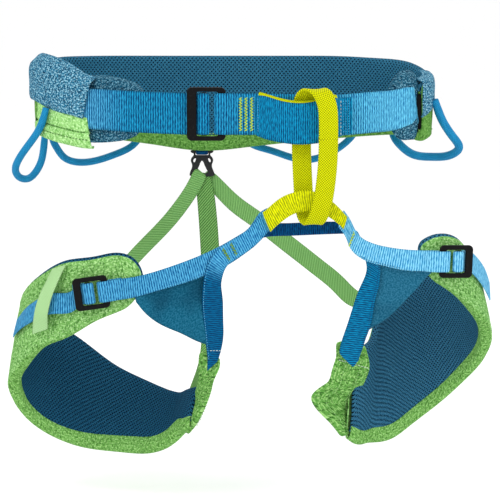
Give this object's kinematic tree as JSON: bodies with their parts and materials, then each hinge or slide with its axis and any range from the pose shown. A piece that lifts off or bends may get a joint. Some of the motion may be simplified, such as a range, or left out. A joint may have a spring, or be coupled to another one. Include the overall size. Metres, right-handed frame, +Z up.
{
  "type": "climbing harness",
  "caption": "Climbing harness with a padded waist belt, padded leg loops, webbing buckles, belay loop, tie-in points, gear loops and elastic rear risers.",
  "frame": {"origin": "middle of the waist opening at the belt's mid height", "axes": "+Z up, -Y the wearer's front, +X to the right of someone facing the front"},
  "size_m": [0.5028, 0.2349, 0.4134],
  "materials": {
    "buckle_black": "satin",
    "bar_steel": "satin",
    "clip_plastic": "matte",
    "shell_green": "melange weave",
    "foam": "closed-cell foam",
    "mesh_petrol": "spacer mesh",
    "melange_blue": "melange weave",
    "webbing_blue": "ribbed webbing",
    "webbing_sky": "ribbed webbing",
    "webbing_navy": "ribbed webbing",
    "yellow": "square weave",
    "thread": "dense stitching",
    "stretch_petrol": "smooth stretch knit",
    "elastic_green": "twill elastic",
    "keeper_green": "flat tape",
    "cord_blue": "braided sheath"
  },
  "bodies": {
    "waist_belt": {"belt_outer_shell": "shell_green", "belt_foam_core": "foam", "belt_mesh_lining": "mesh_petrol", "belt_lower_binding": "shell_green", "left_belt_end_cover": "melange_blue", "left_belt_end_tab": "shell_green", "left_inner_flap": "melange_blue", "right_inner_flap": "melange_blue", "right_belt_end_cover": "melange_blue", "waist_adjuster_webbing": "webbing_blue", "waist_anchor_webbing": "webbing_blue", "tie_in_front_webbing": "webbing_blue", "tie_in_lining": "yellow", "waist_bar_tacks": "thread", "waist_buckle_slide_bar": "bar_steel", "lower_tie_in_sheath": "yellow", "bridge_strap": "webbing_navy", "clip_hanger_loop": "webbing_navy"},
    "waist_buckle": {"waist_buckle_frame": "buckle_black"},
    "belay_loop": {"belay_loop": "yellow"},
    "rear_clip": {"rear_clip": "clip_plastic"},
    "left_front_gear_loop": {"left_front_gear_loop": "cord_blue"},
    "left_rear_gear_loop": {"left_rear_gear_loop": "cord_blue"},
    "right_rear_gear_loop": {"right_rear_gear_loop": "cord_blue"},
    "right_front_gear_loop": {"right_front_gear_loop": "cord_blue"},
    "left_leg_loop": {"left_leg_outer_webbing": "webbing_sky", "left_leg_adjuster_webbing": "webbing_sky", "left_leg_inner_webbing": "webbing_sky", "left_stretch_triangle": "stretch_petrol", "left_leg_outer_shell": "shell_green", "left_leg_foam_core": "foam", "left_leg_mesh_lining": "mesh_petrol", "left_leg_lower_binding": "shell_green", "left_leg_inner_sleeve": "shell_green", "left_leg_keeper": "keeper_green", "left_leg_bar_tacks": "thread", "left_leg_buckle_slide_bar": "bar_steel", "left_riser": "elastic_green", "middle_riser": "elastic_green"},
    "left_leg_buckle": {"left_leg_buckle_frame": "buckle_black"},
    "right_leg_loop": {"right_leg_outer_webbing": "webbing_sky", "right_leg_adjuster_webbing": "webbing_sky", "right_leg_inner_webbing": "webbing_sky", "right_stretch_triangle": "stretch_petrol", "right_leg_outer_shell": "shell_green", "right_leg_foam_core": "foam", "right_leg_mesh_lining": "mesh_petrol", "right_leg_lower_binding": "shell_green", "right_leg_inner_sleeve": "shell_green", "right_leg_bar_tacks": "thread", "right_leg_buckle_slide_bar": "bar_steel", "right_riser": "elastic_green"},
    "right_leg_buckle": {"right_leg_buckle_frame": "buckle_black"}
  },
  "joints": [
    {"name": "left_leg_swing", "type": "hinge", "parent": "waist_belt", "child": "left_leg_loop", "pos_m": [0.0309, -0.104, -0.1063], "axis": [-0.3053, 0.9437, 0.1274], "range_deg": [-8, 12], "stiffness_Nm_per_rad": 14},
    {"name": "right_leg_swing", "type": "hinge", "parent": "waist_belt", "child": "right_leg_loop", "pos_m": [0.1112, -0.104, -0.1063], "axis": [0.5835, -0.8048, -0.1086], "range_deg": [-8, 14], "stiffness_Nm_per_rad": 14},
    {"name": "belay_loop_turn", "type": "hinge", "parent": "waist_belt", "child": "belay_loop", "pos_m": [0.0805, -0.1105, -0.04], "axis": [0, 0, 1], "range_deg": [-10, 10]},
    {"name": "waist_buckle_lift", "type": "hinge", "parent": "waist_belt", "child": "waist_buckle", "pos_m": [-0.0108, -0.098, -0.0005], "axis": [0, 0, 1], "range_deg": [0, 20]},
    {"name": "left_leg_buckle_lift", "type": "hinge", "parent": "left_leg_loop", "child": "left_leg_buckle", "pos_m": [-0.1269, -0.1005, -0.1771], "axis": [-0.1392, 0, 0.9903], "range_deg": [0, 18]},
    {"name": "right_leg_buckle_lift", "type": "hinge", "parent": "right_leg_loop", "child": "right_leg_buckle", "pos_m": [0.2092, -0.094, -0.1481], "axis": [-0.0335, -0.0096, -0.9994], "range_deg": [0, 18]},
    {"name": "rear_clip_rock", "type": "hinge", "parent": "waist_belt", "child": "rear_clip", "pos_m": [-0.0348, 0.096, -0.0527], "axis": [1, 0, 0], "range_deg": [-5, 5]},
    {"name": "left_front_gear_loop_lift", "type": "hinge", "parent": "waist_belt", "child": "left_front_gear_loop", "pos_m": [-0.1894, -0.047, 0.0025], "axis": [-0.1017, 0.9315, -0.3493], "range_deg": [0, 40]},
    {"name": "left_rear_gear_loop_lift", "type": "hinge", "parent": "waist_belt", "child": "left_rear_gear_loop", "pos_m": [-0.1916, 0.042, -0.0269], "axis": [0.874, 0.4786, -0.0842], "range_deg": [0, 40]},
    {"name": "right_rear_gear_loop_lift", "type": "hinge", "parent": "waist_belt", "child": "right_rear_gear_loop", "pos_m": [0.0094, 0.099, -0.0373], "axis": [0.9874, -0.1372, 0.0791], "range_deg": [0, 40]},
    {"name": "right_front_gear_loop_lift", "type": "hinge", "parent": "waist_belt", "child": "right_front_gear_loop", "pos_m": [0.2065, -0.0165, 0.0089], "axis": [0.4068, -0.8418, 0.3548], "range_deg": [0, 40]}
  ]
}
